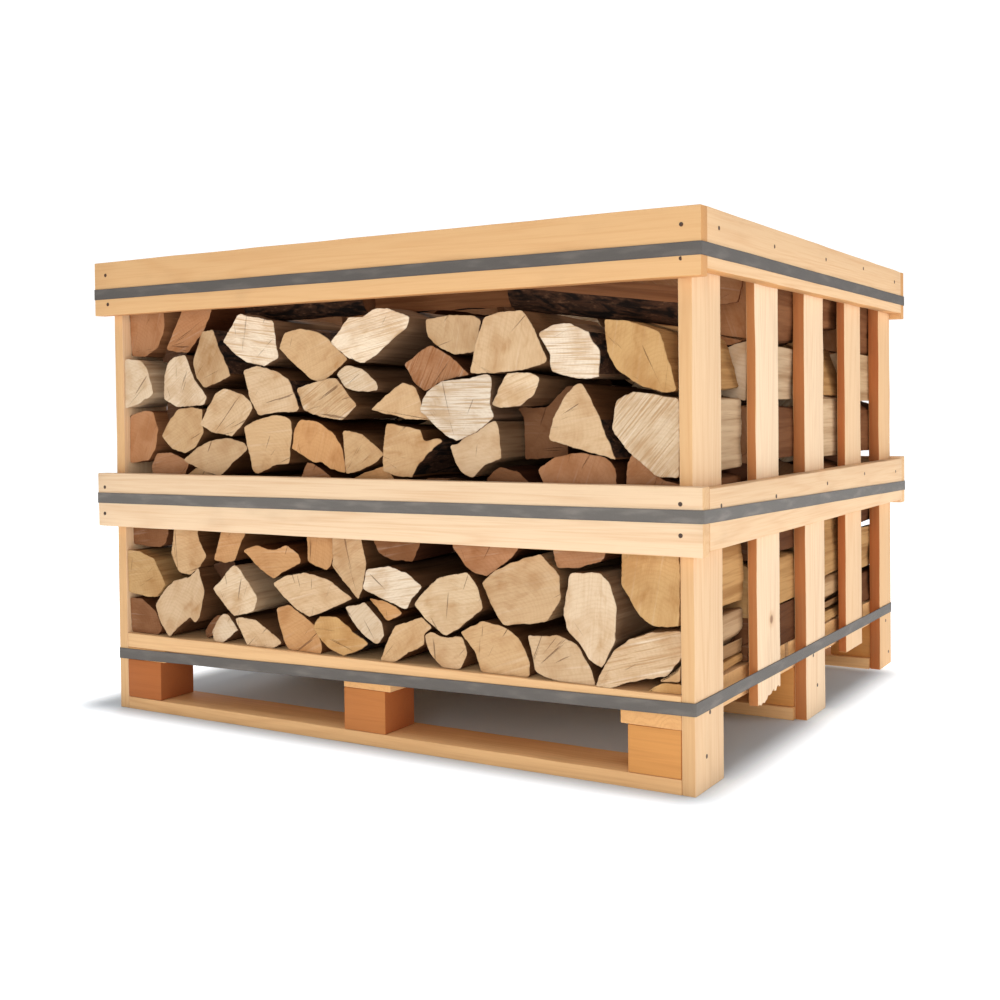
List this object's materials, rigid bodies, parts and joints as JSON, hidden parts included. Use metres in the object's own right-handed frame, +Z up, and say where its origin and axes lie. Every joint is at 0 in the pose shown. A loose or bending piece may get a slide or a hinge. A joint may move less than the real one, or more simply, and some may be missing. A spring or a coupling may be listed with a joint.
{
  "type": "firewood crate on a pallet base",
  "caption": "Open slatted wooden pallet crate filled with stacked split logs, cut ends facing front, with flat straps round the rails and the pallet deck.",
  "frame": {"origin": "centre of the base, on the floor", "axes": "+X to the right along the front rails, +Y from the front to the back, +Z up"},
  "size_m": [1.2036, 1.1416, 0.83],
  "materials": {
    "frame_board": "sawn pale pine, fine straight grain, knots and nail heads",
    "pallet_board": "sawn pine, warmer and duller than the frame",
    "block_wood": "rough orange brown pallet block",
    "split_log": "split hardwood, sawn pale ends, brown bark rims",
    "barked_log": "dark furrowed bark, reddish brown where split",
    "webbing": "matte grey strap with a fine lengthwise texture"
  },
  "bodies": {
    "root": {"back_mid_rail": "frame_board", "back_runner": "pallet_board", "back_top_rail": "frame_board", "block_back_centre": "block_wood", "block_back_left": "block_wood", "block_back_right": "block_wood", "block_front_centre": "block_wood", "block_front_left": "block_wood", "block_front_right": "block_wood", "block_middle_centre": "block_wood", "block_middle_left": "block_wood", "block_middle_right": "block_wood", "centre_stringer": "pallet_board", "cross_log_1": "barked_log", "cross_log_2": "barked_log", "cross_log_3": "barked_log", "deck_board_1": "pallet_board", "deck_board_2": "pallet_board", "deck_board_3": "pallet_board", "deck_board_4": "pallet_board", "deck_board_5": "pallet_board", "deck_board_6": "pallet_board", "deck_board_7": "pallet_board", "front_mid_rail": "frame_board", "front_runner": "pallet_board", "front_top_rail": "frame_board", "left_mid_rail": "frame_board", "left_post_1": "frame_board", "left_post_3": "frame_board", "left_post_5": "frame_board", "left_slat_2": "frame_board", "left_slat_4": "frame_board", "left_stringer": "pallet_board", "left_top_rail": "frame_board", "logs_row_1_course_1": "split_log", "logs_row_1_course_2": "split_log", "logs_row_1_course_3": "split_log", "logs_row_1_course_4": "split_log", "logs_row_2_course_1": "split_log", "logs_row_2_course_2": "split_log", "logs_row_2_course_3": "split_log", "logs_row_3_course_1": "split_log", "logs_row_3_course_2": "split_log", "logs_row_3_course_3": "split_log", "logs_row_4_course_1": "split_log", "logs_row_4_course_2": "split_log", "logs_row_4_course_3": "split_log", "logs_row_4_course_4": "split_log", "low_strap": "webbing", "mid_strap": "webbing", "middle_runner": "pallet_board", "right_mid_rail": "frame_board", "right_post_1": "frame_board", "right_post_3": "frame_board", "right_post_5": "frame_board", "right_slat_2": "frame_board", "right_slat_4": "frame_board", "right_stringer": "pallet_board", "right_top_rail": "frame_board", "top_strap": "webbing"}
  },
  "joints": []
}
